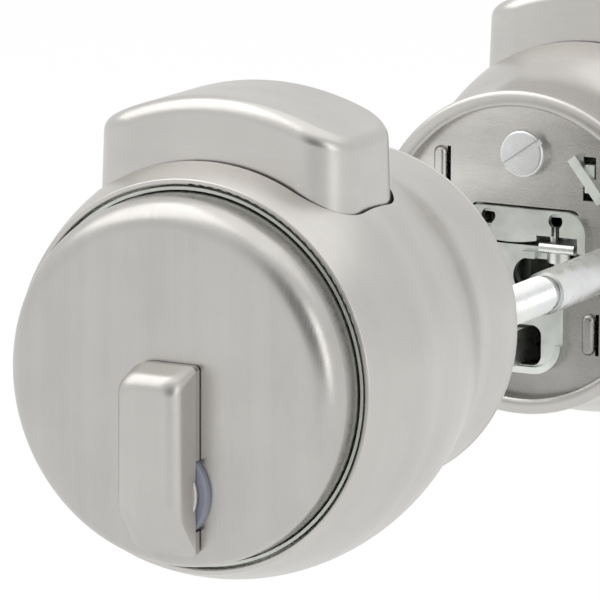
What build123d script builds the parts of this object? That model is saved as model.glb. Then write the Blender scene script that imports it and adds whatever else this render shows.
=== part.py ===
from build123d import *

import os
from math import acos, cos, degrees, radians, sin, sqrt

# Entry lockset with two drum-shaped halves clamped to the two faces of a door.
# The lock axis runs along Y through the origin, which lies on the inside face of the door.
# The inside half, with the thumb turn, is on the -Y side; the outside half, with the keyed cylinder,
# mirrors it on the far side of the door. Lengths are in millimetres.

# Door space between the rims of the two halves
door_gap = 60.0

# Drum shell, a spun sheet barrel with a plain front lip and a curled rim on the door side
shell_depth = 59.0
sheet = 1.2
lip_wall = 1.0
lip_round = 0.3
bulge_rise = 3.6
bulge_from_lip = 18.0
back_curve = 58.0
neck_curve = 20.0
rim_radius = 28.7
rim_section = 2.7
rim_round = 0.5

# Face cap, a pressed cup that stands in front of the lip
cap_radius = 29.6
cap_gap = 0.9
cap_draft = 0.3
cap_height = 8.0
cap_edge = 4.5
cap_sheet = 1.0
snap_clearance = 0.1

# Inner frame, a disc behind the lip with a rim inside the cap, a liner round it and arms to the back plate
frame_from_lip = 3.2
frame_sheet = 1.2
frame_rim_height = 5.0
frame_rim_wall = 1.0
frame_clearance = 0.15
liner_gap = 0.2
liner_drop = 0.3
arm_x = 12.4
arm_z = 13.8
arm_sheet = 1.8
arm_width = 5.0
lug_length = 9.4
lug_twist = 38.0
lug_height = 1.6
access_hole_radius = 6.0

# Back plate held behind the curled rim
plate_sheet = 1.2
plate_overlap = 0.7
slot_clearance = 0.3
slot_over = 1.4
louvre_left = 16.4
louvre_right = 12.7
louvre_z = 13.8
louvre_length = 7.4
louvre_width = 2.4
louvre_height = 1.0
louvre_round = 0.8
slit_width = 0.7

# Slotted screw at the top of the back plate and the post that it screws into
screw_z = 17.5
post_radius = 3.2
screw_radius = 2.5
screw_length = 12.0
screw_head_radius = 4.25
screw_head_height = 2.0
screw_head_round = 0.6
screw_slot_width = 1.1
screw_slot_depth = 0.9
screw_slot_turn = 35.0
thread_clearance = 0.05

# Thumb press, a drawn block that stands out of a window in the top of the drum
press_half_width = 22.9
press_depth = 24.2
press_from_lip = 18.3
press_foot = 20.0
press_top_radius = 43.4
press_draft = 2.0
press_corner = 8.0
press_edge = 2.8
press_sheet = 1.2
press_travel = 5.0
press_clearance = 0.35
flange_width = 1.2
flange_sheet = 1.0
flange_clearance = 0.45

# Carrier under the thumb press, folded from sheet, with two arms, two legs and a lip that carries a boss
carrier_sheet = 1.8
carrier_seat = 0.1
web_half_width = 12.0
web_notch_clearance = 0.9
fork_x = 7.0
fork_width = 4.0
fork_top = 24.3
leg_from_rim = 8.0
left_leg_foot = 3.5
lip_left = 3.6
lip_right = 10.3
lip_reach = 7.2
lip_edge_round = 0.8
boss_x = 6.3
boss_from_rim = 4.6
boss_radius = 2.4
boss_height = 2.0
stub_radius = 0.7
stub_height = 2.4
stub_inset = 1.2

# Latch follower that the lip turns through a pin on an arm
follower_z = -5.0
follower_radius = 4.5
follower_front = 10.2
follower_back = 18.2
follower_arm_sheet = 2.8
follower_arm_radius = 7.0
follower_arm_rest = 9.5
follower_pin_radius = 1.8
follower_pin_end = 4.4
follower_socket = 4.6
follower_ring_radius = 6.3
follower_ring_sheet = 1.0
pin_gap = 0.3
running_clearance = 0.05
side_clearance = 0.3

# Cage of plated sheet on the door side of the back plate: an upper and a lower piece
cage_sheet = 1.2
upper_half_width = 12.2
upper_top = 7.7
upper_bottom = 3.2
upper_corner = 3.8
relief_x = 6.5
relief_z = 6.0
relief_radius = 1.35
relief_slot = 1.5
ear_width = 1.5
ear_bottom = 0.6
curtain_from_rim = 4.6
curtain_left = 9.6
curtain_right = 1.4
curtain_bottom = 1.6
curtain_wave = 0.6
shelf_half_width = 10.3
shelf_length = 27.0
lower_half_width = 8.2
lower_top = -9.0
lower_bottom = -21.4
lower_corner = 5.4
lower_window = 8.0
lower_window_height = 7.2
lower_window_corner = 1.8
hem_reach = 1.1
hem_top = -16.0
guide_from_rim = 5.4
guide_left = 9.8
guide_right = 3.2
guide_gap = 0.5
guide_hole = 3.4
guide_tab_width = 2.6
guide_tab_reach = 1.2
cheek_x = 5.0
cheek_top = -11.0
cheek_height = 2.0
bearing_from_rim = 14.0
bearing_half_width = 7.4
bearing_top = 1.2
window_half_width = 10.6
window_corner = 1.5
lower_window_half_width = 6.0

# Return springs between the shelf and the arms of the carrier
spring_radius = 2.6
spring_wire = 0.4
spring_from_rim = 25.0
spring_pitch = 2.6

# Posts and screws that clamp the halves through the door
clamp_x = 19.5
sleeve_radius = 3.7
sleeve_reach = 30.5
sleeve_flange_radius = 5.0
sleeve_flange = 1.5
clamp_screw_radius = 2.95
clamp_engagement = 14.0
clamp_head_radius = 5.0
clamp_head_height = 3.2
clamp_cross_length = 6.0

# Thumb turn, its bush and clip, on the lower axis of the lock
turn_z = -16.5
turn_shaft_radius = 3.5
turn_shaft_length = 30.0
turn_base_width = 12.4
turn_base_top = 4.1
turn_base_bottom = -26.2
turn_front_width = 10.2
turn_front_top = 2.6
turn_front_bottom = -19.8
turn_height = 5.2
turn_corner = 3.2
turn_edge = 2.0
bush_flange_radius = 8.0
bush_flange = 1.2
bush_round = 0.5
bush_barrel_radius = 4.5
turn_clip_radius = 6.2
turn_clip_sheet = 0.8

# Flat tailpiece from the thumb turn through the door to the cam of the cylinder
tail_sheet = 2.0
tail_width = 6.2
tail_engagement = 12.0
tail_clearance = 0.05

# Keyed cylinder of the outside half
cylinder_radius = 7.8
cylinder_rim_radius = 8.8
cylinder_rim = 1.2
cylinder_rim_round = 0.6
cylinder_length = 32.0
chamber_width = 8.0
chamber_top = 14.6
chamber_round = 2.4
plug_radius = 5.8
plug_face_radius = 6.8
plug_face = 1.0
keyway_width = 1.5
keyway_height = 8.4
keyway_step = 0.7
keyway_step_drop = 1.4
keyway_step_height = 2.1
keyway_depth = 26.0
dog_length = 3.0
dog_radius = 5.2
dog_bore = 1.6
dog_arc = 80.0
cam_disc = 2.6
plug_ring_radius = 7.2
plug_ring_sheet = 1.2
clip_leg = 3.4
clip_drop = 3.0
clip_sheet = 1.6

# Places along the lock axis of the inside half, and sizes that follow from the ones above
lip_y = -shell_depth
bulge_y = lip_y + bulge_from_lip
face_y = lip_y - cap_height
frame_y = lip_y + frame_from_lip
frame_back = frame_y + frame_sheet
plate_front = -rim_section
plate_back = plate_front - plate_sheet
cage_y = plate_front + cage_sheet
lip_radius = cap_radius + cap_gap
bulge_radius = lip_radius + lip_wall + bulge_rise
rim_bore = rim_radius - rim_section
plate_radius = rim_bore + plate_overlap
neck_angle = degrees(acos(1 - (bulge_radius - rim_radius) / (back_curve + neck_curve)))
door_middle = Plane.XZ.offset(-door_gap / 2)


def facing(y):
    """Plane across the lock axis at y, with X to the right, Z up and its normal towards the inside."""
    return Plane.XZ.offset(-y)


def front_wall(bulge, lip, y):
    """Radius at y of the arc that leaves the bulge along the axis and ends at the lip."""
    drop = bulge - lip
    curve = (bulge_from_lip**2 + drop**2) / (2 * drop)
    return bulge - curve + sqrt(curve**2 - (y - bulge_y) ** 2)


def back_wall(bulge, curve, y):
    """Radius at y of the arc that leaves the bulge along the axis towards the neck."""
    return bulge - curve + sqrt(curve**2 - (y - bulge_y) ** 2)


# Drum shell
with BuildPart() as shell:
    with BuildSketch(Plane.XY):
        with BuildLine():
            inner_bulge = bulge_radius - sheet
            outer_lip = (lip_radius + lip_wall, lip_y)
            outer_front = TangentArc((bulge_radius, bulge_y), outer_lip, tangent=(0, -1))
            outer_back = JernArc((bulge_radius, bulge_y), (0, 1), back_curve, neck_angle)
            outer_neck = JernArc(outer_back @ 1, outer_back % 1, neck_curve, -neck_angle)
            inner_front = TangentArc((inner_bulge, bulge_y), (lip_radius, lip_y), tangent=(0, -1))
            inner_back = JernArc((inner_bulge, bulge_y), (0, 1), back_curve - sheet, neck_angle)
            inner_neck = JernArc(inner_back @ 1, inner_back % 1, neck_curve + sheet, -neck_angle)
            Line(outer_front @ 1, inner_front @ 1)
            Polyline(
                outer_neck @ 1,
                (rim_radius, plate_front),
                (rim_radius - sheet, plate_front),
                inner_neck @ 1,
            )
        make_face()
        fillet(vertices().group_by(Axis.Y)[0], lip_round)
        with Locations((rim_radius - rim_section / 2, -rim_section / 2)):
            Rectangle(rim_section, rim_section)
        fillet(vertices().group_by(Axis.Y)[-1], rim_round)
    revolve(axis=Axis.Y)
    with BuildSketch(Plane.XY.offset(press_foot)):
        with Locations((0, lip_y + press_from_lip)):
            RectangleRounded(
                2 * (press_half_width + press_clearance),
                press_depth + 2 * press_clearance,
                press_corner + press_clearance,
            )
    extrude(amount=press_top_radius, mode=Mode.SUBTRACT)


# Face cap without its hole
with BuildPart() as blank_cap:
    with BuildSketch(Plane.XY):
        with BuildLine():
            outline = FilletPolyline(
                (cap_radius, frame_y),
                (cap_radius - cap_draft, face_y),
                (0, face_y),
                radius=cap_edge,
            )
            inside_outline = FilletPolyline(
                (cap_radius - cap_sheet, frame_y),
                (cap_radius - cap_draft - cap_sheet, face_y + cap_sheet),
                (0, face_y + cap_sheet),
                radius=cap_edge - cap_sheet,
            )
            Line(outline @ 0, inside_outline @ 0)
            Line(outline @ 1, inside_outline @ 1)
        make_face()
    revolve(axis=Axis.Y)

# Inner frame with its cap rim, its liner, its two arms and their twisted lugs
frame_radius = front_wall(bulge_radius - sheet, lip_radius, frame_y) - frame_clearance
frame_rim_radius = cap_radius - cap_sheet - cap_draft - snap_clearance
with BuildPart() as frame:
    with BuildSketch(facing(frame_back)):
        Circle(frame_radius)
        with Locations((clamp_x, 0), (-clamp_x, 0)):
            Circle(access_hole_radius, mode=Mode.SUBTRACT)
        with Locations((0, turn_z)):
            Circle(cylinder_radius + side_clearance, mode=Mode.SUBTRACT)
    extrude(amount=frame_sheet)
    with BuildSketch(facing(frame_y)):
        Circle(frame_rim_radius)
        Circle(frame_rim_radius - frame_rim_wall, mode=Mode.SUBTRACT)
    extrude(amount=frame_rim_height)
    with BuildSketch(facing(frame_y)):
        Circle(lip_radius - liner_gap)
        Circle(cap_radius + liner_gap, mode=Mode.SUBTRACT)
    extrude(amount=frame_y - lip_y - liner_drop)
    with BuildSketch(facing(plate_front)):
        with Locations((arm_x, arm_z), (-arm_x, -arm_z)):
            Rectangle(arm_sheet, arm_width)
    extrude(amount=plate_front - frame_back)
    with BuildSketch(facing(plate_front + lug_height)):
        with Locations((arm_x, arm_z), (-arm_x, -arm_z)):
            Rectangle(arm_sheet, lug_length, rotation=lug_twist)
    extrude(amount=lug_height)

# Back plate with the mechanism window, the lug slots and two lanced louvres
with BuildPart() as back_plate:
    with BuildSketch(facing(plate_front)):
        Circle(plate_radius)
        with BuildSketch(mode=Mode.PRIVATE) as mechanism_window:
            window_top = upper_top + side_clearance
            window_bottom = turn_z - lower_window_height / 2
            with Locations((0, (window_top + lower_top) / 2)):
                RectangleRounded(2 * window_half_width, window_top - lower_top, window_corner)
            with Locations((0, (upper_bottom + window_bottom) / 2)):
                RectangleRounded(2 * lower_window_half_width, upper_bottom - window_bottom, window_corner)
        add(mechanism_window.sketch, mode=Mode.SUBTRACT)
        with Locations((arm_x, arm_z), (-arm_x, -arm_z)):
            Rectangle(arm_sheet + 2 * slot_clearance, arm_width + 2 * slot_over, mode=Mode.SUBTRACT)
        with Locations((0, screw_z)):
            Circle(screw_radius + thread_clearance, mode=Mode.SUBTRACT)
        with Locations((clamp_x, 0), (-clamp_x, 0)):
            Circle(sleeve_radius + thread_clearance, mode=Mode.SUBTRACT)
    extrude(amount=plate_sheet)
    with BuildSketch(facing(plate_front + louvre_height)):
        with Locations((-louvre_left, louvre_z), (louvre_right, -louvre_z)):
            SlotOverall(louvre_length, louvre_width, rotation=90)
    extrude(amount=louvre_height)
    fillet(faces().sort_by(Axis.Y)[-2:].edges(), louvre_round)
    with BuildSketch(facing(plate_front)):
        slit_from_louvre = (louvre_width + slit_width) / 2
        with Locations(
            (slit_from_louvre - louvre_left, louvre_z),
            (slit_from_louvre + louvre_right, -louvre_z),
        ):
            Rectangle(slit_width, louvre_length)
    extrude(amount=plate_sheet, mode=Mode.SUBTRACT)

# Post between the frame and the back plate, and its slotted screw
with BuildPart() as plate_post:
    with BuildSketch(facing(plate_back)):
        with Locations((0, screw_z)):
            Circle(post_radius)
    extrude(amount=plate_back - frame_back)
    with BuildSketch(facing(plate_back)):
        with Locations((0, screw_z)):
            Circle(screw_radius + thread_clearance)
    extrude(amount=screw_length, mode=Mode.SUBTRACT)

with BuildPart() as plate_screw:
    with BuildSketch(facing(plate_front)):
        with Locations((0, screw_z)):
            Circle(screw_radius)
    extrude(amount=screw_length)
    with BuildSketch(facing(plate_front + screw_head_height)):
        with Locations((0, screw_z)):
            Circle(screw_head_radius)
    extrude(amount=screw_head_height)
    fillet(faces().sort_by(Axis.Y)[-1].edges(), screw_head_round)
    with BuildSketch(facing(plate_front + screw_head_height)):
        with Locations((0, screw_z)):
            Rectangle(2 * screw_head_radius, screw_slot_width, rotation=screw_slot_turn)
    extrude(amount=screw_slot_depth, mode=Mode.SUBTRACT)

# Thumb press
press_y = lip_y + press_from_lip


def press_block(inset):
    """Drafted block with a top concentric with the drum, taken in by inset on every side."""
    with BuildPart() as block:
        with BuildSketch(Plane.XY.offset(press_foot)):
            with Locations((0, press_y)):
                RectangleRounded(
                    2 * (press_half_width - inset), press_depth - 2 * inset, press_corner - inset
                )
        extrude(amount=press_top_radius, taper=press_draft)
        with BuildSketch(facing(press_y)):
            Circle(press_top_radius - inset)
        extrude(amount=press_depth, both=True, mode=Mode.INTERSECT)
        fillet(block.faces().sort_by(Axis.Z)[-1].edges(), press_edge - inset)
    return block.part


flange_reach = press_depth / 2 + flange_width
flange_room = min(
    front_wall(bulge_radius - sheet, lip_radius, press_y - flange_reach),
    back_wall(bulge_radius - sheet, back_curve - sheet, press_y + flange_reach),
)
flange_radius = flange_room - flange_clearance
flange_inner = flange_radius - flange_sheet

with BuildPart() as press_flange:
    with BuildSketch(Plane.XY.offset(press_foot)):
        with Locations((0, press_y)):
            RectangleRounded(
                2 * (press_half_width + flange_width),
                press_depth + 2 * flange_width,
                press_corner + flange_width,
            )
            RectangleRounded(
                2 * (press_half_width - press_sheet),
                press_depth - 2 * press_sheet,
                press_corner - press_sheet,
                mode=Mode.SUBTRACT,
            )
    extrude(amount=press_top_radius)
    with BuildSketch(facing(press_y)):
        Circle(flange_radius)
        Circle(flange_inner, mode=Mode.SUBTRACT)
    extrude(amount=press_depth, both=True, mode=Mode.INTERSECT)

with BuildPart() as thumb_press:
    add(press_block(0))
    add(press_block(press_sheet), mode=Mode.SUBTRACT)
    with BuildSketch(facing(press_y)):
        Circle(flange_inner)
    extrude(amount=press_depth, both=True, mode=Mode.SUBTRACT)
    add(press_flange.part)

# Carrier of the thumb press
leg_y = -leg_from_rim
web_y = press_y + carrier_sheet / 2
pin_z = follower_z + follower_arm_radius * sin(radians(follower_arm_rest))
boss_foot = pin_z + follower_pin_radius + pin_gap
lip_z = boss_foot + boss_height
fork_z = fork_top - carrier_sheet
roof_radius = press_top_radius - press_sheet - carrier_seat
with BuildPart() as press_carrier:
    with BuildSketch(facing(web_y)):
        with Locations((0, fork_z)):
            Rectangle(2 * web_half_width, roof_radius, align=(Align.CENTER, Align.MIN))
        Circle(roof_radius, mode=Mode.INTERSECT)
        with Locations((0, screw_z + press_travel)):
            Circle(post_radius + web_notch_clearance, mode=Mode.SUBTRACT)
    extrude(amount=carrier_sheet)
    with BuildSketch(Plane.XY.offset(fork_z)):
        with Locations((fork_x, leg_y), (-fork_x, leg_y)):
            Rectangle(fork_width, leg_y - web_y + carrier_sheet, align=(Align.CENTER, Align.MAX))
    extrude(amount=carrier_sheet)
    with BuildSketch(facing(leg_y)):
        with Locations((fork_x, fork_top)):
            Rectangle(fork_width, fork_top - lip_z, align=(Align.CENTER, Align.MAX))
        with Locations((-fork_x, fork_top)):
            Rectangle(fork_width, fork_top - left_leg_foot, align=(Align.CENTER, Align.MAX))
    extrude(amount=carrier_sheet)
    with BuildSketch(Plane.XY.offset(lip_z)):
        with Locations(((lip_left + lip_right) / 2, leg_y + lip_reach)):
            Rectangle(lip_right - lip_left, lip_reach + carrier_sheet, align=(Align.CENTER, Align.MAX))
    extrude(amount=carrier_sheet)
    fillet(faces().sort_by(Axis.Y)[-1].edges().filter_by(Axis.X), lip_edge_round)
    with BuildSketch(Plane.XY.offset(boss_foot)):
        with Locations((boss_x, -boss_from_rim)):
            Circle(boss_radius)
    extrude(amount=boss_height)
    with BuildSketch(Plane.XY.offset(lip_z + carrier_sheet)):
        with Locations((lip_left + stub_inset, -boss_from_rim)):
            Circle(stub_radius)
    extrude(amount=stub_height)

# Latch follower with its arm, its pin and a square socket
follower_front_y = -follower_front
follower_back_y = -follower_back
bearing_front = -bearing_from_rim
arm_back = bearing_front + side_clearance
pin_x = follower_arm_radius * cos(radians(follower_arm_rest))
with BuildPart() as follower:
    with BuildSketch(facing(follower_front_y)):
        with Locations((0, follower_z)):
            Circle(follower_radius)
    extrude(amount=follower_front_y - follower_back_y)
    with BuildSketch(facing(arm_back + follower_arm_sheet)):
        with Locations((pin_x / 2, (follower_z + pin_z) / 2)):
            SlotCenterToCenter(follower_arm_radius, 2 * follower_pin_radius, rotation=follower_arm_rest)
    extrude(amount=follower_arm_sheet)
    with BuildSketch(facing(-follower_pin_end)):
        with Locations((pin_x, pin_z)):
            Circle(follower_pin_radius)
    extrude(amount=-follower_pin_end - arm_back)
    with BuildSketch(facing(follower_front_y)):
        with Locations((0, follower_z)):
            Rectangle(follower_socket, follower_socket)
    extrude(amount=follower_front_y - follower_back_y, mode=Mode.SUBTRACT)

bearing_back = bearing_front - cage_sheet
with BuildPart() as follower_ring:
    with BuildSketch(facing(bearing_back - side_clearance)):
        with Locations((0, follower_z)):
            Circle(follower_ring_radius)
            Circle(follower_radius + running_clearance, mode=Mode.SUBTRACT)
            with Locations((0, -follower_ring_radius)):
                Rectangle(follower_radius, follower_ring_radius, mode=Mode.SUBTRACT)
    extrude(amount=follower_ring_sheet)

# Upper cage piece: strip with keyhole-shaped reliefs and two ears, a set-back curtain and the spring shelf
curtain_y = -curtain_from_rim
ear_x = upper_half_width - ear_width / 2
with BuildPart() as cage_upper:
    with BuildSketch(facing(cage_y)):
        with Locations((0, (upper_top + upper_bottom) / 2)):
            Rectangle(2 * upper_half_width, upper_top - upper_bottom)
        fillet(vertices().group_by(Axis.Y)[-1], upper_corner)
        with Locations((ear_x, upper_bottom), (-ear_x, upper_bottom)):
            Rectangle(ear_width, upper_bottom - ear_bottom, align=(Align.CENTER, Align.MAX))
        with Locations((relief_x, relief_z), (-relief_x, relief_z)):
            Circle(relief_radius, mode=Mode.SUBTRACT)
            Rectangle(
                relief_slot,
                relief_z - upper_bottom,
                align=(Align.CENTER, Align.MAX),
                mode=Mode.SUBTRACT,
            )
    extrude(amount=cage_sheet)
    with BuildSketch(Plane.XY.offset(upper_top)):
        with Locations((0, plate_front)):
            Rectangle(2 * (upper_half_width - upper_corner), shelf_length, align=(Align.CENTER, Align.MAX))
        with Locations((0, plate_back)):
            Rectangle(2 * shelf_half_width, shelf_length - plate_sheet, align=(Align.CENTER, Align.MAX))
        with Locations((fork_x, leg_y + side_clearance), (-fork_x, leg_y + side_clearance)):
            Rectangle(
                fork_width + 2 * side_clearance,
                carrier_sheet + 2 * side_clearance,
                align=(Align.CENTER, Align.MAX),
                mode=Mode.SUBTRACT,
            )
    extrude(amount=-cage_sheet)
    with BuildSketch(Plane.XY.offset(upper_bottom)):
        with Locations(((curtain_right - curtain_left) / 2, plate_front)):
            Rectangle(curtain_left + curtain_right, plate_front - curtain_y, align=(Align.CENTER, Align.MAX))
    extrude(amount=cage_sheet)
    with BuildSketch(facing(curtain_y)):
        with BuildLine():
            hanging_edge = Spline(
                (-curtain_left, curtain_bottom),
                (-curtain_left / 2, curtain_bottom - curtain_wave),
                (curtain_right, curtain_bottom),
            )
            Polyline(
                hanging_edge @ 0,
                (-curtain_left, upper_bottom + cage_sheet),
                (curtain_right, upper_bottom + cage_sheet),
                hanging_edge @ 1,
            )
        make_face()
    extrude(amount=cage_sheet)


# Lower cage piece: plate with the tailpiece window and a turned-out hem, cheeks, the guide and the bearing
def lower_outline(inset):
    """Outline of the lower plate with its two round bottom corners, taken in by inset except at the top."""
    with BuildSketch() as outline:
        with Locations((0, lower_top)):
            Rectangle(
                2 * (lower_half_width - inset),
                lower_top - lower_bottom - inset,
                align=(Align.CENTER, Align.MAX),
            )
        fillet(outline.vertices().group_by(Axis.Y)[0], lower_corner - inset)
    return outline.sketch


guide_y = -guide_from_rim
guide_top = curtain_bottom - curtain_wave - guide_gap
cheek_bottom = cheek_top - cheek_height
with BuildPart() as cage_lower:
    with BuildSketch(facing(cage_y)):
        add(lower_outline(0))
        with Locations((0, turn_z)):
            RectangleRounded(lower_window, lower_window_height, lower_window_corner, mode=Mode.SUBTRACT)
    extrude(amount=cage_sheet)
    with BuildSketch(facing(cage_y + hem_reach)):
        add(lower_outline(0))
        add(lower_outline(cage_sheet), mode=Mode.SUBTRACT)
        with Locations((0, hem_top)):
            Rectangle(
                2 * lower_half_width,
                hem_top - lower_bottom,
                align=(Align.CENTER, Align.MAX),
                mode=Mode.INTERSECT,
            )
    extrude(amount=hem_reach)
    with BuildSketch(facing(plate_front)):
        with Locations((cheek_x, cheek_top), (-cheek_x, cheek_top)):
            Rectangle(cage_sheet, cheek_height, align=(Align.CENTER, Align.MAX))
    extrude(amount=plate_front - bearing_back)
    with BuildSketch(facing(guide_y)):
        with Locations(((guide_right - guide_left) / 2, guide_top)):
            Rectangle(guide_left + guide_right, guide_top - cheek_top, align=(Align.CENTER, Align.MAX))
        with Locations((-cheek_x, cheek_top)):
            Rectangle(cage_sheet, cheek_height, align=(Align.CENTER, Align.MAX))
        with Locations((0, follower_z)):
            Circle(guide_hole, mode=Mode.SUBTRACT)
            Rectangle(
                guide_right,
                2 * guide_hole,
                align=(Align.MIN, Align.CENTER),
                mode=Mode.SUBTRACT,
            )
    extrude(amount=cage_sheet)
    with BuildSketch(facing(guide_y + guide_tab_reach)):
        with Locations((0, follower_z + guide_hole)):
            Rectangle(guide_tab_width, cage_sheet, align=(Align.CENTER, Align.MIN))
    extrude(amount=guide_tab_reach)
    with BuildSketch(facing(bearing_front)):
        with Locations((0, bearing_top)):
            Rectangle(
                2 * bearing_half_width,
                bearing_top - cheek_bottom,
                align=(Align.CENTER, Align.MAX),
            )
        with Locations((0, follower_z)):
            Circle(follower_radius + running_clearance, mode=Mode.SUBTRACT)
    extrude(amount=cage_sheet)

# Return springs
spring_y = -spring_from_rim
with BuildPart() as press_springs:
    for side in (fork_x, -fork_x):
        with BuildLine():
            coil = Helix(
                spring_pitch,
                fork_z - upper_top - 2 * spring_wire,
                spring_radius - spring_wire,
                center=(side, spring_y, upper_top + spring_wire),
            )
        with BuildSketch(Plane(origin=coil @ 0, z_dir=coil % 0)):
            Circle(spring_wire)
        sweep(path=coil)

# Face cap of the inside half, with the hole for the bush
with BuildPart() as inside_face_cap:
    add(blank_cap.part)
    with BuildSketch(facing(frame_y)):
        with Locations((0, turn_z)):
            Circle(bush_barrel_radius + thread_clearance)
    extrude(amount=frame_y - face_y, mode=Mode.SUBTRACT)

# Bush of the thumb turn, a flanged plastic sleeve in the cap
with BuildPart() as turn_bush:
    with BuildSketch(facing(face_y)):
        with Locations((0, turn_z)):
            Circle(bush_flange_radius)
    extrude(amount=bush_flange)
    fillet(faces().sort_by(Axis.Y)[0].edges(), bush_round)
    with BuildSketch(facing(frame_y)):
        with Locations((0, turn_z)):
            Circle(bush_barrel_radius)
    extrude(amount=frame_y - face_y)
    with BuildSketch(facing(frame_y)):
        with Locations((0, turn_z)):
            Circle(turn_shaft_radius + running_clearance)
    extrude(amount=frame_y - face_y + bush_flange, mode=Mode.SUBTRACT)

# Thumb turn with its shaft, slotted for the tailpiece
turn_y = face_y - bush_flange - side_clearance
shaft_end = turn_y + turn_shaft_length
tail_start = shaft_end - tail_engagement
with BuildPart() as thumb_turn:
    for y, width, top, bottom in (
        (turn_y, turn_base_width, turn_base_top, turn_base_bottom),
        (turn_y - turn_height, turn_front_width, turn_front_top, turn_front_bottom),
    ):
        with BuildSketch(facing(y)):
            with Locations((0, (top + bottom) / 2)):
                RectangleRounded(width, top - bottom, turn_corner)
    loft()
    fillet(faces().sort_by(Axis.Y)[0].edges(), turn_edge)
    with BuildSketch(facing(shaft_end)):
        with Locations((0, turn_z)):
            Circle(turn_shaft_radius)
    extrude(amount=turn_shaft_length)
    with BuildSketch(facing(shaft_end)):
        with Locations((0, turn_z)):
            Rectangle(tail_sheet + 2 * tail_clearance, tail_width + 2 * tail_clearance)
    extrude(amount=tail_engagement, mode=Mode.SUBTRACT)

# Spring clip that holds the shaft behind the bush
with BuildPart() as turn_clip:
    with BuildSketch(facing(frame_y + side_clearance + turn_clip_sheet)):
        with Locations((0, turn_z)):
            Circle(turn_clip_radius)
            Circle(turn_shaft_radius + tail_clearance, mode=Mode.SUBTRACT)
            with Locations((0, -turn_clip_radius)):
                Rectangle(turn_shaft_radius, turn_clip_radius, mode=Mode.SUBTRACT)
    extrude(amount=turn_clip_sheet)

# Places of the outside half along the lock axis
outer_face = door_gap - face_y
cylinder_back = outer_face - cylinder_length
plug_back = cylinder_back - plug_ring_sheet - side_clearance
dog_end = plug_back - dog_length
cam_front = dog_end - side_clearance
tail_end = cam_front

# Tailpiece
with BuildPart() as tailpiece:
    with BuildSketch(facing(tail_end)):
        with Locations((0, turn_z)):
            Rectangle(tail_sheet, tail_width)
    extrude(amount=tail_end - tail_start)

# Face cap of the outside half, with the hole for the cylinder
with BuildPart() as outside_face_cap:
    mirror(blank_cap.part, about=door_middle)
    with BuildSketch(facing(outer_face)):
        with Locations((0, turn_z)):
            Circle(cylinder_radius + thread_clearance)
    extrude(amount=outer_face - door_gap, mode=Mode.SUBTRACT)

# Cylinder housing with its pin chamber
with BuildPart() as cylinder_housing:
    with BuildSketch(facing(outer_face)):
        with Locations((0, turn_z)):
            Circle(cylinder_radius)
    extrude(amount=cylinder_length)
    with BuildSketch(facing(outer_face + cylinder_rim)):
        with Locations((0, turn_z)):
            Circle(cylinder_rim_radius)
    extrude(amount=cylinder_rim)
    fillet(faces().sort_by(Axis.Y)[-1].edges(), cylinder_rim_round)
    with BuildSketch(facing(door_gap - frame_back)):
        with Locations((0, turn_z)):
            Rectangle(chamber_width, chamber_top, align=(Align.CENTER, Align.MIN))
        fillet(vertices().group_by(Axis.Y)[-1], chamber_round)
    extrude(amount=door_gap - frame_back - cylinder_back)
    with BuildSketch(facing(outer_face + cylinder_rim)):
        with Locations((0, turn_z)):
            Circle(plug_radius + running_clearance)
    extrude(amount=cylinder_rim + cylinder_length, mode=Mode.SUBTRACT)
    with BuildSketch(facing(outer_face + cylinder_rim)):
        with Locations((0, turn_z)):
            Circle(plug_face_radius + running_clearance)
    extrude(amount=plug_face, mode=Mode.SUBTRACT)


def dog_sector(y, length, middle):
    """Ring sector on the lower axis that ends at y and is centred on the angle middle."""
    with BuildPart() as sector:
        with BuildSketch(facing(y)):
            with BuildLine(Location((0, turn_z))):
                outer = CenterArc((0, 0), dog_radius, middle - dog_arc / 2, dog_arc)
                inner = CenterArc((0, 0), dog_bore, middle - dog_arc / 2, dog_arc)
                Line(outer @ 0, inner @ 0)
                Line(outer @ 1, inner @ 1)
            make_face()
        extrude(amount=length)
    return sector.part


# Key plug with a stepped keyway and a driving dog on its tail
with BuildPart() as key_plug:
    with BuildSketch(facing(outer_face + cylinder_rim)):
        with Locations((0, turn_z)):
            Circle(plug_radius)
    extrude(amount=outer_face + cylinder_rim - plug_back)
    with BuildSketch(facing(outer_face + cylinder_rim)):
        with Locations((0, turn_z)):
            Circle(plug_face_radius)
    extrude(amount=plug_face - running_clearance)
    with BuildSketch(facing(outer_face + cylinder_rim)):
        with Locations((0, turn_z)):
            Rectangle(keyway_width, keyway_height)
            with Locations((keyway_step, -keyway_step_drop)):
                Rectangle(keyway_width, keyway_step_height)
    extrude(amount=keyway_depth, mode=Mode.SUBTRACT)
    add(dog_sector(plug_back, dog_length, 90))

# Ring that holds the plug in the housing
with BuildPart() as plug_ring:
    with BuildSketch(facing(cylinder_back - side_clearance)):
        with Locations((0, turn_z)):
            Circle(plug_ring_radius)
            Circle(plug_radius + tail_clearance, mode=Mode.SUBTRACT)
    extrude(amount=plug_ring_sheet)

# Lost-motion cam on the tailpiece
with BuildPart() as lazy_cam:
    with BuildSketch(facing(cam_front)):
        with Locations((0, turn_z)):
            Circle(dog_radius)
            Rectangle(tail_sheet + 2 * tail_clearance, tail_width + 2 * tail_clearance, mode=Mode.SUBTRACT)
    extrude(amount=cam_disc)
    add(dog_sector(cam_front + dog_length, dog_length, -90))

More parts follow.
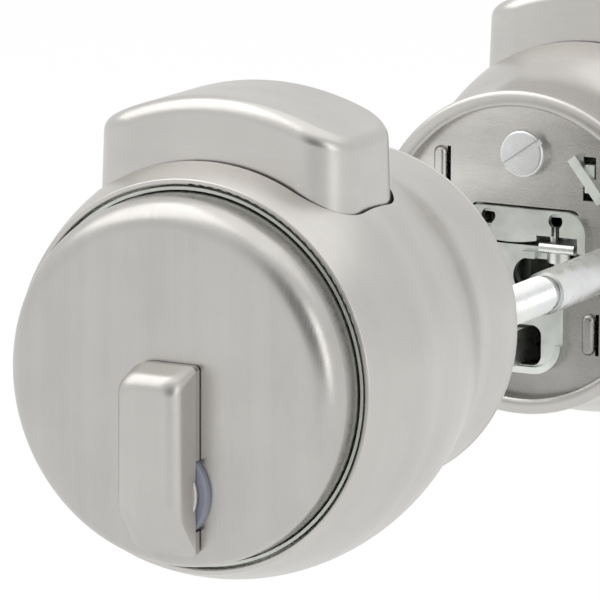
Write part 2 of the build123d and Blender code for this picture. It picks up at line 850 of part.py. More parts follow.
# Horseshoe that holds the cylinder against the inside of its cap
clip_bore = cylinder_radius + thread_clearance
with BuildPart() as cylinder_clip:
    with BuildSketch(facing(outer_face - cap_sheet)):
        with Locations((0, turn_z - clip_drop)):
            Rectangle(
                2 * (clip_bore + clip_leg),
                clip_drop + clip_bore + clip_leg,
                align=(Align.CENTER, Align.MIN),
            )
        fillet(vertices().group_by(Axis.Y)[-1], clip_leg)
        with Locations((0, turn_z)):
            Circle(clip_bore, mode=Mode.SUBTRACT)
            Rectangle(2 * clip_bore, 2 * clip_drop, align=(Align.CENTER, Align.MAX), mode=Mode.SUBTRACT)
    extrude(amount=clip_sheet)

# Threaded sleeves of the outside half and the screws that pass through the door
outer_plate = door_gap - plate_back
with BuildPart() as clamp_sleeves:
    for side in (clamp_x, -clamp_x):
        with BuildSketch(facing(outer_plate)):
            with Locations((side, 0)):
                Circle(sleeve_radius)
        extrude(amount=outer_plate - door_gap + sleeve_reach)
        with BuildSketch(facing(outer_plate + sleeve_flange)):
            with Locations((side, 0)):
                Circle(sleeve_flange_radius)
        extrude(amount=sleeve_flange)
        with BuildSketch(facing(door_gap - sleeve_reach)):
            with Locations((side, 0)):
                Circle(clamp_screw_radius + thread_clearance)
        extrude(amount=-clamp_engagement - sleeve_flange, mode=Mode.SUBTRACT)

with BuildPart() as clamp_screws:
    for side in (clamp_x, -clamp_x):
        with BuildSketch(facing(door_gap - sleeve_reach + clamp_engagement)):
            with Locations((side, 0)):
                Circle(clamp_screw_radius)
        extrude(amount=door_gap - sleeve_reach + clamp_engagement - plate_back)
        with BuildSketch(facing(plate_back)):
            with Locations((side, 0)):
                Circle(clamp_head_radius)
        extrude(amount=clamp_head_height)
        with BuildSketch(facing(plate_back - clamp_head_height)):
            with Locations((side, 0)):
                Rectangle(screw_slot_width, 2 * clamp_head_radius)
                Rectangle(clamp_cross_length, screw_slot_width)
        extrude(amount=-screw_slot_depth, mode=Mode.SUBTRACT)

# Files: the pieces that both halves have, then the pieces of one half
os.makedirs("parts", exist_ok=True)
both_halves = {
    "shell": shell,
    "frame": frame,
    "back_plate": back_plate,
    "plate_post": plate_post,
    "plate_screw": plate_screw,
    "thumb_press": thumb_press,
    "press_carrier": press_carrier,
    "press_springs": press_springs,
    "follower": follower,
    "follower_ring": follower_ring,
    "cage_upper": cage_upper,
    "cage_lower": cage_lower,
}
for name, piece in both_halves.items():
    with BuildPart() as twin:
        mirror(piece.part, about=door_middle)
    for half, solid in (("inside", piece.part), ("outside", twin.part)):
        solid.label = f"{half}_{name}"
        export_step(solid, f"parts/{half}_{name}.step")

one_half = {
    "inside_face_cap": inside_face_cap,
    "outside_face_cap": outside_face_cap,
    "turn_bush": turn_bush,
    "thumb_turn": thumb_turn,
    "turn_clip": turn_clip,
    "tailpiece": tailpiece,
    "cylinder_housing": cylinder_housing,
    "key_plug": key_plug,
    "plug_ring": plug_ring,
    "lazy_cam": lazy_cam,
    "cylinder_clip": cylinder_clip,
    "clamp_sleeves": clamp_sleeves,
    "clamp_screws": clamp_screws,
}
for name, piece in one_half.items():
    piece.part.label = name
    export_step(piece.part, f"parts/{name}.step")
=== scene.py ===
import math
from collections import namedtuple

import bmesh
import bpy
from mathutils import Matrix, Vector


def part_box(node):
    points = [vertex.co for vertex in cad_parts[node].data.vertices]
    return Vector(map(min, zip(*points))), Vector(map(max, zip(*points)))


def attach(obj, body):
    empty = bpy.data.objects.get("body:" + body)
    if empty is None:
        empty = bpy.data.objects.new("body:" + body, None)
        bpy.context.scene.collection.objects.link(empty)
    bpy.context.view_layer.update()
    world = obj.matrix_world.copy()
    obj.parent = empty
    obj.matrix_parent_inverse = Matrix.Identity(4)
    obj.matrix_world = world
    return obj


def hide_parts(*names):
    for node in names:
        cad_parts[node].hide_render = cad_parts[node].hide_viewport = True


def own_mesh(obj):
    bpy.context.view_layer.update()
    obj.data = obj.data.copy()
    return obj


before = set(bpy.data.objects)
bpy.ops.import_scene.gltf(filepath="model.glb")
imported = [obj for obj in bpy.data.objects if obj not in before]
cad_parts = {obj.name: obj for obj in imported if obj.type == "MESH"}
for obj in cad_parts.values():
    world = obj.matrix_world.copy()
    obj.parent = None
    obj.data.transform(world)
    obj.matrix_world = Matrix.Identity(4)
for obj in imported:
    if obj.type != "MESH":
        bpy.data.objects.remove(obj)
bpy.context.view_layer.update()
scene = bpy.context.scene
scene.view_settings.view_transform = "Standard"

MM = 0.001

# Camera of the photograph: place and sensor in millimetres, angles in degrees, focal length in pixels of the
# photo's width, clipping distances in metres
CAMERA_PLACE = (409.5, -802.7, 181.5)
CAMERA_AZIMUTH = 27.68
CAMERA_ELEVATION = 11.26
CAMERA_ROLL = 0.2
FOCAL_PIXELS = 5544.0
PHOTO_PIXELS = 600.0
SENSOR = 36.0
CLIP_START, CLIP_END = 0.05, 50.0


def photo_camera():
    """Makes the camera from the place and angles above."""
    azimuth, elevation, roll = map(math.radians, (CAMERA_AZIMUTH, CAMERA_ELEVATION, CAMERA_ROLL))
    back = Vector(
        (
            math.sin(azimuth) * math.cos(elevation),
            -math.cos(azimuth) * math.cos(elevation),
            math.sin(elevation),
        )
    )
    level = Vector((math.cos(azimuth), math.sin(azimuth), 0.0))
    upright = back.cross(level)
    right = math.cos(roll) * level + math.sin(roll) * upright
    up = back.cross(right)
    data = bpy.data.cameras.new("photo_camera")
    data.sensor_width = SENSOR
    data.lens = FOCAL_PIXELS * SENSOR / PHOTO_PIXELS
    data.clip_start, data.clip_end = CLIP_START, CLIP_END
    camera = bpy.data.objects.new("photo_camera", data)
    turn = Matrix((right, up, back)).transposed()
    camera.matrix_world = Matrix.Translation(Vector(CAMERA_PLACE) * MM) @ turn.to_4x4()
    scene.collection.objects.link(camera)
    scene.camera = camera


photo_camera()


# Node helpers, and the range that most of a noise texture's values lie in
NOISE_LOW, NOISE_HIGH = 0.3, 0.7


class Nodes:
    """The node tree of a material or a world, with short calls for the nodes that it uses."""

    def __init__(self, owner):
        owner.use_nodes = True
        self.tree = owner.node_tree

    def node(self, kind, **settings):
        """A new node with its settings."""
        made = self.tree.nodes.new(kind)
        for key, value in settings.items():
            setattr(made, key, value)
        return made

    def link(self, source, target):
        """Links an output to an input."""
        self.tree.links.new(source, target)

    def feed(self, made, *values):
        """Fills a node's inputs in their order, each from an output or with a constant."""
        for socket, value in zip(made.inputs, values):
            if isinstance(value, bpy.types.NodeSocket):
                self.link(value, socket)
            else:
                socket.default_value = value
        return made

    def number(self, operation, *values):
        """A number worked out from numbers."""
        return self.feed(self.node("ShaderNodeMath", operation=operation), *values).outputs[0]

    def measure(self, operation, *vectors):
        """A number worked out from vectors."""
        return self.feed(self.node("ShaderNodeVectorMath", operation=operation), *vectors).outputs["Value"]

    def apart(self, vector):
        """The X, Y and Z of a vector."""
        return self.feed(self.node("ShaderNodeSeparateXYZ"), vector).outputs

    def together(self, *values):
        """A vector from its coordinates."""
        return self.feed(self.node("ShaderNodeCombineXYZ"), *values).outputs[0]

    def spread(self, factor, low, high, start=NOISE_LOW, end=NOISE_HIGH, curve="LINEAR"):
        """Goes from low to high as the factor goes from start to end."""
        made = self.node("ShaderNodeMapRange", interpolation_type=curve)
        return self.feed(made, factor, start, end, low, high).outputs["Result"]


class Shader(Nodes):
    """A material with its Principled shader and the textures that go into it."""

    def __init__(self, name, colour, metallic, roughness, **constants):
        self.material = bpy.data.materials.new(name)
        super().__init__(self.material)
        self.bsdf = self.tree.nodes["Principled BSDF"]
        self.bsdf.inputs["Base Color"].default_value = (*colour, 1.0)
        self.bsdf.inputs["Metallic"].default_value = metallic
        self.bsdf.inputs["Roughness"].default_value = roughness
        for socket, value in constants.items():
            self.bsdf.inputs[socket.replace("_", " ")].default_value = value
        self.place = self.node("ShaderNodeTexCoord").outputs["Object"]

    def straight(self, *marks):
        """Coordinates for straight marks, with a number of marks per metre along X, Y and Z."""
        mapping = self.node("ShaderNodeMapping")
        mapping.inputs["Scale"].default_value = marks
        self.link(self.place, mapping.inputs["Vector"])
        return mapping.outputs["Vector"]

    def around(self, fine, long):
        """Coordinates for marks round the lock axis: fine along it and along the radius, long round it."""
        x, y, z = self.apart(self.place)
        angle = self.number("ARCTAN2", z, x)
        radius = self.measure("LENGTH", self.together(x, z))
        return self.together(
            self.number("MULTIPLY", angle, long),
            self.number("MULTIPLY", y, fine),
            self.number("MULTIPLY", radius, fine),
        )

    def height(self):
        """Height above the lock axis."""
        return self.apart(self.place)["Z"]

    def from_door(self):
        """Distance from the middle of the door, along the lock axis."""
        return self.number("ABSOLUTE", self.number("SUBTRACT", self.apart(self.place)["Y"], DOOR_MIDDLE))

    def noise(self, vector, scale=1.0, detail=3.0, rough=0.55):
        """A noise texture over the given coordinates."""
        made = self.node("ShaderNodeTexNoise")
        made.inputs["Scale"].default_value = scale
        made.inputs["Detail"].default_value = detail
        made.inputs["Roughness"].default_value = rough
        self.link(vector, made.inputs["Vector"])
        return made.outputs["Fac"]

    def colours(self, factor, *stops):
        """Colour ramp into the base colour: stops are (position, colour)."""
        ramp = self.node("ShaderNodeValToRGB")
        elements = ramp.color_ramp.elements
        while len(elements) < len(stops):
            elements.new(stops[-1][0])
        for element, (position, colour) in zip(elements, stops):
            element.position = position
            element.color = (*colour, 1.0)
        self.link(factor, ramp.inputs["Fac"])
        self.link(ramp.outputs["Color"], self.bsdf.inputs["Base Color"])

    def paint_shade(self, value, start, end, level):
        """Paints shade into the base colour: takes it down to a level as the value goes from start to end."""
        scale = self.node("ShaderNodeVectorMath", operation="SCALE")
        self.link(self.bsdf.inputs["Base Color"].links[0].from_socket, scale.inputs[0])
        self.link(self.spread(value, 1.0, level, start, end), scale.inputs["Scale"])
        self.link(scale.outputs["Vector"], self.bsdf.inputs["Base Color"])

    def roughen(self, factor, low, high):
        """Varies the roughness from low to high."""
        self.link(self.spread(factor, low, high), self.bsdf.inputs["Roughness"])

    def bump(self, factor, strength, distance):
        """Fine relief, with its height in metres."""
        made = self.node("ShaderNodeBump")
        made.inputs["Strength"].default_value = strength
        made.inputs["Distance"].default_value = distance
        self.link(factor, made.inputs["Height"])
        self.link(made.outputs["Normal"], self.bsdf.inputs["Normal"])


def shade(colour, factor):
    """A colour made lighter or darker."""
    return tuple(min(1.0, c * factor) for c in colour)


# Colours of the finishes
STEEL = (0.578, 0.563, 0.538)
ZINC = (0.72, 0.745, 0.71)
BRIGHT = (0.80, 0.81, 0.805)
BRASS = (0.66, 0.50, 0.24)
NICKEL = (0.58, 0.56, 0.52)
WIRE = (0.48, 0.48, 0.48)
PLASTIC = (0.24, 0.255, 0.315)

# Satin steel: marks per metre along X, Y and Z, and on the drum per metre along the axis and per radian
# round it; depth of the lines in metres; scale of the soft bands against the lines; and the range that bands
# and mottle added up lie in
DRUM_MARKS = (5200.0, 6.0)
FACE_MARKS = (5200.0, 700.0, 160.0)
PRESS_MARKS = (160.0, 4600.0, 4600.0)
TURN_MARKS = (3600.0, 3600.0, 120.0)
PLATE_MARKS = (260.0, 900.0, 3600.0)
BRUSH_NOISE = {"detail": 4.0, "rough": 0.6}
BRUSH_DEPTH = 0.00003
BAND_SCALE = 0.03
TONE_LOW, TONE_HIGH = 0.7, 1.3
ANISOTROPY = 0.25

# Painted shade on the lower part of the back plates, for the shadow and dark reflections there: heights in
# metres and level of the colour
PLATE_SHADE_TOP, PLATE_SHADE_BOTTOM = 0.012, -0.028
PLATE_SHADE_LEVEL = 0.46


def brushed(name, run, marks, colour, roughness, contrast, bump, mottle=0.06, patch=60.0):
    """Satin metal: brush lines with a straight or round run, soft bands along them and a faint mottle."""
    made = Shader(name, colour, metallic=1.0, roughness=roughness, Anisotropic=ANISOTROPY)
    brush = run(made, *marks)
    lines = made.noise(brush, **BRUSH_NOISE)
    bands = made.noise(brush, BAND_SCALE, **BRUSH_NOISE)
    tone = made.number("ADD", bands, made.noise(made.place, patch))
    made.colours(
        made.spread(tone, 0.0, 1.0, TONE_LOW, TONE_HIGH),
        (0.0, shade(colour, 1.0 - mottle)),
        (1.0, shade(colour, 1.0 + mottle)),
    )
    made.roughen(lines, roughness - contrast, roughness + contrast)
    made.bump(lines, bump, BRUSH_DEPTH)
    return made


drum_steel = brushed("drum_steel", Shader.around, DRUM_MARKS, STEEL, roughness=0.32, contrast=0.05, bump=0.08)
face_steel = brushed(
    "face_steel", Shader.straight, FACE_MARKS, shade(STEEL, 0.90), roughness=0.31, contrast=0.05, bump=0.05
)
press_steel = brushed(
    "press_steel", Shader.straight, PRESS_MARKS, shade(STEEL, 0.98), roughness=0.32, contrast=0.05, bump=0.08
)
turn_steel = brushed(
    "turn_steel", Shader.straight, TURN_MARKS, shade(STEEL, 0.96), roughness=0.38, contrast=0.03, bump=0.04
)
plate_steel = brushed(
    "plate_steel",
    Shader.straight,
    PLATE_MARKS,
    shade(STEEL, 1.04),
    roughness=0.28,
    contrast=0.03,
    bump=0.02,
    mottle=0.15,
    patch=95.0,
)
# Painted shade: the back plate's colour darkens towards the bottom, standing in for shadow and dark
# reflection.
plate_steel.paint_shade(plate_steel.height(), PLATE_SHADE_TOP, PLATE_SHADE_BOTTOM, PLATE_SHADE_LEVEL)

# Zinc plating: scales per metre, positions of the stained, plain and warm patches, and depth in metres
SPANGLE = {"scale": 420.0, "detail": 5.0, "rough": 0.6}
SPANGLE_DEPTH = 0.0001
SMOOTHER, ROUGHER = 0.08, 0.10
PATCH_SCALE = 90.0
STAINED, PLAIN, WARM = 0.30, 0.52, 0.78
WARM_TONE = (1.06, 1.06, 0.98)

# Painted shade on the liner in the gap round the cap: distances from the middle of the door in metres and
# level of the colour
DOOR_MIDDLE = 0.030
GAP_SHADE_NEAR, GAP_SHADE_FAR = 0.0875, 0.0880
GAP_SHADE_LEVEL = 0.8


def plated(name, colour, roughness, grain, stain):
    """Zinc plating with a fine spangle and with stained and warm patches."""
    made = Shader(name, colour, metallic=1.0, roughness=roughness)
    spangle = made.noise(made.place, **SPANGLE)
    made.colours(
        made.noise(made.place, PATCH_SCALE),
        (STAINED, shade(colour, 1.0 - stain)),
        (PLAIN, colour),
        (WARM, tuple(c * tone for c, tone in zip(colour, WARM_TONE))),
    )
    made.roughen(spangle, roughness - SMOOTHER, roughness + ROUGHER)
    made.bump(spangle, grain, SPANGLE_DEPTH)
    return made


zinc = plated("zinc_plate", shade(ZINC, 1.08), roughness=0.34, grain=0.25, stain=0.26)
bright_zinc = plated("bright_zinc", BRIGHT, roughness=0.30, grain=0.04, stain=0.08)
rough_zinc = plated("rough_zinc", shade(ZINC, 1.2), roughness=0.48, grain=1.0, stain=0.12)
# Painted shade: the frame's colour darkens on the liner in the gap between the cap and the drum lip.
rough_zinc.paint_shade(rough_zinc.from_door(), GAP_SHADE_NEAR, GAP_SHADE_FAR, GAP_SHADE_LEVEL)

# Turned metal: marks and scale per metre, levels of the tarnish, change of roughness and depth in metres
TOOL_MARKS = (900.0, 6000.0, 900.0)
TOOL_CONTRAST = 0.06
TOOL_BUMP, TOOL_DEPTH = 0.12, 0.00004
TARNISH_SCALE = 160.0
TARNISHED, POLISHED = 0.88, 1.05


def turned(name, colour, roughness):
    """Turned metal with tool lines across the lock axis and a faint tarnish."""
    made = Shader(name, colour, metallic=1.0, roughness=roughness)
    lines = made.noise(made.straight(*TOOL_MARKS), detail=2.0)
    made.colours(
        made.noise(made.place, TARNISH_SCALE),
        (NOISE_LOW, shade(colour, TARNISHED)),
        (NOISE_HIGH, shade(colour, POLISHED)),
    )
    made.roughen(lines, roughness - TOOL_CONTRAST, roughness + TOOL_CONTRAST)
    made.bump(lines, TOOL_BUMP, TOOL_DEPTH)
    return made


brass = turned("plug_brass", BRASS, roughness=0.28)
nickel = turned("housing_nickel", NICKEL, roughness=0.27)
wire = turned("spring_wire", WIRE, roughness=0.30)

# Plastic: marks and scale per metre, levels of the flow pattern, range of roughness and depth in metres
FLOW_MARKS = (260.0, 260.0, 120.0)
FLOW_DARK, FLOW_LIGHT = 0.86, 1.1
GRAIN_SCALE = 2600.0
GRAIN_SMOOTH, GRAIN_ROUGH = 0.27, 0.38
GRAIN_BUMP, GRAIN_DEPTH = 0.15, 0.00005


def moulded(name, colour):
    """Moulded plastic with a faint flow pattern and a fine grain."""
    made = Shader(name, colour, metallic=0.0, roughness=0.32, Specular_IOR_Level=0.5)
    grain = made.noise(made.place, GRAIN_SCALE, detail=2.0)
    made.colours(
        made.noise(made.straight(*FLOW_MARKS), detail=2.0),
        (NOISE_LOW, shade(colour, FLOW_DARK)),
        (NOISE_HIGH, shade(colour, FLOW_LIGHT)),
    )
    made.roughen(grain, GRAIN_SMOOTH, GRAIN_ROUGH)
    made.bump(grain, GRAIN_BUMP, GRAIN_DEPTH)
    return made


bush_plastic = moulded("bush_plastic", PLASTIC)

# Finish of each node, by its name or, where both halves have the piece, by its name without the half
FINISHES = {
    "shell": drum_steel,
    "frame": rough_zinc,
    "back_plate": plate_steel,
    "plate_post": zinc,
    "plate_screw": bright_zinc,
    "thumb_press": press_steel,
    "press_carrier": bright_zinc,
    "press_springs": wire,
    "follower": zinc,
    "follower_ring": wire,
    "cage_upper": zinc,
    "cage_lower": zinc,
    "face_cap": face_steel,
    "turn_bush": bush_plastic,
    "thumb_turn": turn_steel,
    "turn_clip": wire,
    "tailpiece": bright_zinc,
    "cylinder_housing": nickel,
    "key_plug": brass,
    "plug_ring": wire,
    "lazy_cam": zinc,
    "cylinder_clip": wire,
    "clamp_sleeves": bright_zinc,
    "clamp_screws": bright_zinc,
}
for name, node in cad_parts.items():
    kind = name if name in FINISHES else name.split("_", 1)[1]
    node.data.materials.clear()
    node.data.materials.append(FINISHES[kind].material)


# Mesh helpers for the pieces that only the scene has
def round_y(radius, angle, y, x=0.0, z=0.0):
    """Point at a radius and angle round an axis along Y, which goes through the given X and Z."""
    return (x + radius * math.cos(angle), y, z + radius * math.sin(angle))


def skin(shape, loops, unit=MM, ring=False, smooth=True):
    """Faces over a row of loops with equal numbers of points, open at both ends or closed to a ring."""
    rows = [[shape.verts.new(Vector(point) * unit) for point in loop] for loop in loops]
    count = len(rows[0])
    for before, after in zip(rows, rows[1:] + rows[:1] if ring else rows[1:]):
        for point in range(count):
            following = (point + 1) % count
            quad = shape.faces.new((before[point], before[following], after[following], after[point]))
            quad.smooth = smooth
    return rows


def end_faces(shape, rows):
    """Flat faces over the first and the last row of a skin."""
    return [shape.faces.new(row) for row in (rows[0], rows[-1])]


def dressed(name, shape, finish):
    """Makes an object from a shape and gives it a finish."""
    bmesh.ops.recalc_face_normals(shape, faces=shape.faces)
    mesh = bpy.data.meshes.new(name)
    shape.to_mesh(mesh)
    shape.free()
    mesh.materials.append(finish.material)
    made = bpy.data.objects.new(name, mesh)
    scene.collection.objects.link(made)
    return made


# Cut thread on the clamp screws, from the sleeves towards the inside half: lengths in millimetres, and half
# widths of the ridge at its foot and on its flat crest as shares of the pitch
CLAMP_X = 19.5
THREAD_ROOT = 2.9
THREAD_CREST = 3.25
THREAD_PITCH = 1.0
THREAD_FOOT = 0.46
THREAD_FLAT = 0.08
THREAD_START = 9.0
THREAD_END = 29.2
THREAD_STEPS = 48


def screw_thread(name, side):
    """A ridge with a V section that winds round a clamp screw and runs out flat at both ends."""
    shape = bmesh.new()
    turns = (THREAD_END - THREAD_START) / THREAD_PITCH - 1.0
    steps = int(turns * THREAD_STEPS)
    loops = []
    for step in range(steps + 1):
        angle = math.tau * step / THREAD_STEPS
        middle = THREAD_START + THREAD_PITCH * (0.5 + step / THREAD_STEPS)
        rise = min(1.0, step / THREAD_STEPS, (steps - step) / THREAD_STEPS)
        crest = THREAD_ROOT + (THREAD_CREST - THREAD_ROOT) * rise
        section = (
            (THREAD_ROOT, -THREAD_FOOT),
            (crest, -THREAD_FLAT),
            (crest, THREAD_FLAT),
            (THREAD_ROOT, THREAD_FOOT),
        )
        loops.append(
            [round_y(radius, angle, middle + shift * THREAD_PITCH, x=side) for radius, shift in section]
        )
    rows = skin(shape, loops)
    for before, after in zip(rows, rows[1:]):
        for start, end in zip(before, after):
            shape.edges.get((start, end)).smooth = False
    end_faces(shape, rows)
    thread = dressed(name, shape, bright_zinc)
    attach(thread, "lock")


screw_thread("clamp_thread_right", CLAMP_X)
screw_thread("clamp_thread_left", -CLAMP_X)


# Rolled edge on the rim of each half: lengths in millimetres. Each half has the place of its door face and
# the direction from there into the door.
DOOR_FACES = {"inside": (0.0, 1.0), "outside": (60.0, -1.0)}
ROLL_RADIUS = 27.35
ROLL_HALF_WIDTH = 1.43
ROLL_HALF_DEPTH = 0.8
ROLL_PROUD = 0.25
ROLL_STEPS = 160
ROLL_POINTS = 24


def rim_roll(name, face, towards):
    """A smooth ring with an elliptical section that rounds off the flat rim of a half."""
    shape = bmesh.new()
    section = []
    for point in range(ROLL_POINTS):
        turn = math.tau * point / ROLL_POINTS
        rise = ROLL_PROUD - ROLL_HALF_DEPTH * (1.0 - math.sin(turn))
        section.append((ROLL_RADIUS + ROLL_HALF_WIDTH * math.cos(turn), face + towards * rise))
    angles = [math.tau * step / ROLL_STEPS for step in range(ROLL_STEPS)]
    skin(shape, [[round_y(radius, angle, y) for radius, y in section] for angle in angles], ring=True)
    roll = dressed(name, shape, drum_steel)
    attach(roll, "lock")


for half, (face, towards) in DOOR_FACES.items():
    rim_roll(half + "_rim_roll", face, towards)


# Return springs with closed ends, which stand for the plain CAD coils: lengths in metres, as the frame has
# them
WIRE_RADIUS = 0.0004
SPRING_RADIUS = 0.0026
SPRING_TURNS = 6.0
SPRING_STEPS = 30
SPRING_SIDES = 12


def coil(shape, x, y, bottom, top):
    """Adds a wire coil whose first and last turns lie close, between two heights."""
    section = []
    for side in range(SPRING_SIDES):
        round_wire = math.tau * side / SPRING_SIDES
        radius = SPRING_RADIUS - WIRE_RADIUS + WIRE_RADIUS * math.cos(round_wire)
        section.append((radius, WIRE_RADIUS * math.sin(round_wire)))
    close = 2.0 * WIRE_RADIUS
    open_rise = top - bottom - 2.0 * WIRE_RADIUS - 2.0 * close
    loops = []
    for step in range(int(SPRING_TURNS * SPRING_STEPS) + 1):
        turn = step / SPRING_STEPS
        angle = math.tau * turn
        opened = min(max((turn - 1.0) / (SPRING_TURNS - 2.0), 0.0), 1.0)
        closed = min(turn, 1.0) + max(turn - SPRING_TURNS + 1.0, 0.0)
        height = bottom + WIRE_RADIUS + close * closed + open_rise * opened
        across, along = math.cos(angle), math.sin(angle)
        loops.append([(x + radius * across, y + radius * along, height + lift) for radius, lift in section])
    end_faces(shape, skin(shape, loops, unit=1.0))


def return_springs(half):
    """The two springs of a half, on the places of the CAD springs."""
    low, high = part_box(half + "_press_springs")
    shape = bmesh.new()
    for x in (low.x + SPRING_RADIUS, high.x - SPRING_RADIUS):
        coil(shape, x, (low.y + high.y) / 2.0, low.z, high.z)
    springs = dressed(half + "_return_springs", shape, wire)
    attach(springs, "lock")
    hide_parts(half + "_press_springs")
    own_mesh(springs)


for half in DOOR_FACES:
    return_springs(half)


# Handle of the thumb turn in place of the plain CAD loft: lengths in millimetres. An outline has a half
# width, the heights of its top and bottom, and the corner radius on the right and on the left. A round
# profile has radii, each with its place along the axis.
Outline = namedtuple("Outline", "half top bottom right left")
TURN_AXIS = -16.5
TURN_BASE = -68.5
TURN_FRONT = -73.7
BASE_OUTLINE = Outline(half=6.2, top=4.1, bottom=-26.2, right=0.9, left=4.2)
FRONT_OUTLINE = Outline(half=5.25, top=2.6, bottom=-19.8, right=3.0, left=3.2)
FRONT_ROUND = 2.0
ROUND_STEPS = 12
SIDE_STEPS = 4
CORNER_POINTS = 10
CIRCLE_POINTS = 64
HUB_PROFILE = ((6.6, -68.35), (6.6, -68.8), (6.52, -69.0), (6.3, -69.1))
SHAFT_PROFILE = ((3.5, -68.6), (3.5, -38.8), (3.2, -38.5))

# Skirt that brings the handle's edge down to the cap, above and below the bush: place of the cap's face, gap
# to it, overlap with the handle, and radius of the cut round the bush
CAP_FACE = -67.0
SKIRT_GAP = 0.25
SKIRT_OVERLAP = 0.02
SKIRT_CUT = 8.4
SKIRT_CUT_POINTS = 16


def turn_outline(y, inset=0.0):
    """Outline of the handle at a place along the axis, drawn in by an inset."""
    share = (y - TURN_BASE) / (TURN_FRONT - TURN_BASE)
    size = Outline(*(base + (front - base) * share for base, front in zip(BASE_OUTLINE, FRONT_OUTLINE)))
    corners = (
        (size.right, size.half - size.right, size.top - size.right),
        (size.left, size.left - size.half, size.top - size.left),
        (size.left, size.left - size.half, size.bottom + size.left),
        (size.right, size.half - size.right, size.bottom + size.right),
    )
    points = []
    for quarter, (radius, x, z) in enumerate(corners):
        for step in range(CORNER_POINTS + 1):
            angle = (quarter + step / CORNER_POINTS) * math.pi / 2.0
            points.append(round_y(radius - inset, angle, y, x, z))
    return points


def skirt_outline(y, side):
    """Outline of the skirt above or below the bush, cut round the bush: side is 1 above and -1 below."""
    outer = [(x, y, z) for x, _, z in turn_outline(TURN_BASE) if (z - TURN_AXIS) * side > 0.0]
    inner = []
    for step in range(SKIRT_CUT_POINTS + 1):
        x = side * BASE_OUTLINE.half * (2.0 * step / SKIRT_CUT_POINTS - 1.0)
        inner.append((x, y, TURN_AXIS + side * math.sqrt(SKIRT_CUT**2 - x**2)))
    return outer + inner


def turn_circle(radius, y):
    """Circle round the axis of the thumb turn."""
    angles = [math.tau * step / CIRCLE_POINTS for step in range(CIRCLE_POINTS)]
    return [round_y(radius, angle, y, z=TURN_AXIS) for angle in angles]


def closed_skin(shape, loops, smooth=True):
    """A skin with a sharp-edged flat face at each end."""
    for face in end_faces(shape, skin(shape, loops, smooth=smooth)):
        for edge in face.edges:
            edge.smooth = False


def turn_handle():
    """Handle with drafted sides, a soft front edge and a skirt, on a round hub, with its shaft."""
    shape = bmesh.new()
    shoulder = TURN_FRONT + FRONT_ROUND
    loops = []
    for step in range(SIDE_STEPS):
        loops.append(turn_outline(TURN_BASE + (shoulder - TURN_BASE) * step / SIDE_STEPS))
    for step in range(ROUND_STEPS + 1):
        angle = math.pi / 2.0 * step / ROUND_STEPS
        y = TURN_FRONT + FRONT_ROUND * (1.0 - math.sin(angle))
        loops.append(turn_outline(y, FRONT_ROUND * (1.0 - math.cos(angle))))
    closed_skin(shape, loops)
    for profile in (HUB_PROFILE, SHAFT_PROFILE):
        closed_skin(shape, [turn_circle(radius, y) for radius, y in profile])
    skirt_levels = (TURN_BASE - SKIRT_OVERLAP, CAP_FACE - SKIRT_GAP)
    for side in (1.0, -1.0):
        closed_skin(shape, [skirt_outline(y, side) for y in skirt_levels], smooth=False)
    handle = dressed("turn_handle", shape, turn_steel)
    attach(handle, "thumb_turn")
    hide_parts("thumb_turn")


turn_handle()


# Floor: lengths in metres, tones, and the share of its look that is plain white
FLOOR_SIZE = 12.0
FLOOR_HEIGHT = -0.10
FLOOR_GREY = (0.86, 0.86, 0.86)
FLOOR_DARK = (0.85, 0.85, 0.85)
FLOOR_LIGHT = (0.88, 0.88, 0.88)
FLOOR_SCALE = 1.5
FLOOR_WHITE = 0.85


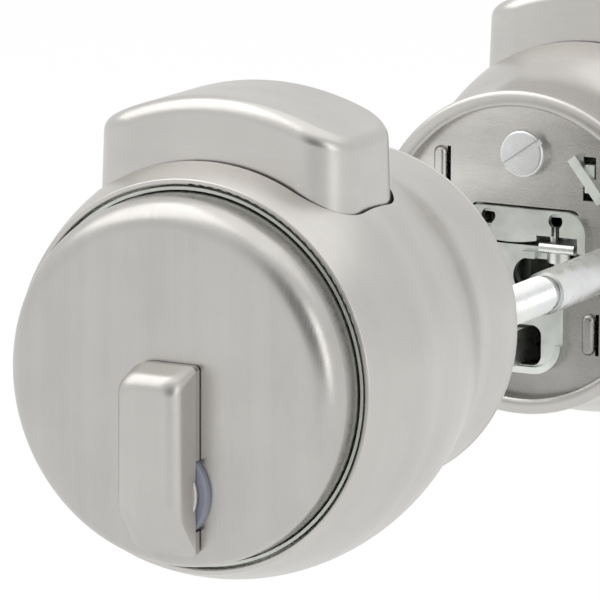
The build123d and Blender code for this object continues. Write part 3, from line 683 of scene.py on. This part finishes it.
def floor():
    """White to the eye and in the metal, with part of its own shading left so that it keeps the shadow."""
    made = Shader("pale_floor", FLOOR_GREY, metallic=0.0, roughness=0.9)
    tone = made.noise(made.place, FLOOR_SCALE, detail=2.0)
    made.colours(tone, (NOISE_LOW, FLOOR_DARK), (NOISE_HIGH, FLOOR_LIGHT))
    path = made.node("ShaderNodeLightPath")
    seen = path.outputs["Is Camera Ray"]
    for ray in ("Is Glossy Ray", "Is Transmission Ray"):
        seen = made.number("MAXIMUM", seen, path.outputs[ray])
    share = made.number("MULTIPLY", seen, FLOOR_WHITE)
    white = made.node("ShaderNodeEmission")
    mix = made.feed(made.node("ShaderNodeMixShader"), share, made.bsdf.outputs[0], white.outputs[0])
    made.link(mix.outputs[0], made.tree.nodes["Material Output"].inputs["Surface"])
    shape = bmesh.new()
    bmesh.ops.create_grid(shape, x_segments=1, y_segments=1, size=FLOOR_SIZE)
    plane = dressed("floor", shape, made)
    plane.location.z = FLOOR_HEIGHT


floor()


# Lights: places and sizes in metres, power in watts
def area_light(name, place, size, power):
    """A rectangular lamp that points at the origin."""
    data = bpy.data.lights.new(name, "AREA")
    data.shape = "RECTANGLE"
    data.size, data.size_y = size
    data.energy = power
    lamp = bpy.data.objects.new(name, data)
    lamp.location = place
    lamp.rotation_mode = "QUATERNION"
    lamp.rotation_quaternion = (-Vector(place)).to_track_quat("-Z", "Y")
    scene.collection.objects.link(lamp)


area_light("key_light", place=(-0.9, -0.5, 1.3), size=(1.6, 1.6), power=9.0)
area_light("side_light", place=(1.5, -0.7, 0.3), size=(0.6, 1.2), power=3.0)
area_light("top_light", place=(0.2, 0.3, 1.6), size=(2.2, 2.2), power=7.0)

# Level of the surroundings at the horizon and overhead, and of the dark side of the room: its direction, and
# the closeness to that direction at which the dark begins and is full
HORIZON_LEVEL = 0.92
OVERHEAD_LEVEL = 0.86
DARK_SIDE = (0.47, -0.86, 0.2)
DARK_LEVEL = 0.25
DARK_EDGE = 0.80
DARK_CORE = 0.97


def surroundings():
    """World: a soft grey gradient that the metal mirrors, with a dark patch in front of the inside half."""
    scene.world = bpy.data.worlds.new("surroundings")
    room = Nodes(scene.world)
    place = room.node("ShaderNodeTexCoord").outputs["Generated"]
    gradient = room.spread(room.apart(place)["Z"], HORIZON_LEVEL, OVERHEAD_LEVEL, start=0.0, end=1.0)
    towards = room.measure("DOT_PRODUCT", place, Vector(DARK_SIDE).normalized())
    patch = room.spread(towards, 1.0, DARK_LEVEL, DARK_EDGE, DARK_CORE, curve="SMOOTHSTEP")
    room.link(room.number("MULTIPLY", gradient, patch), room.tree.nodes["Background"].inputs["Color"])


surroundings()
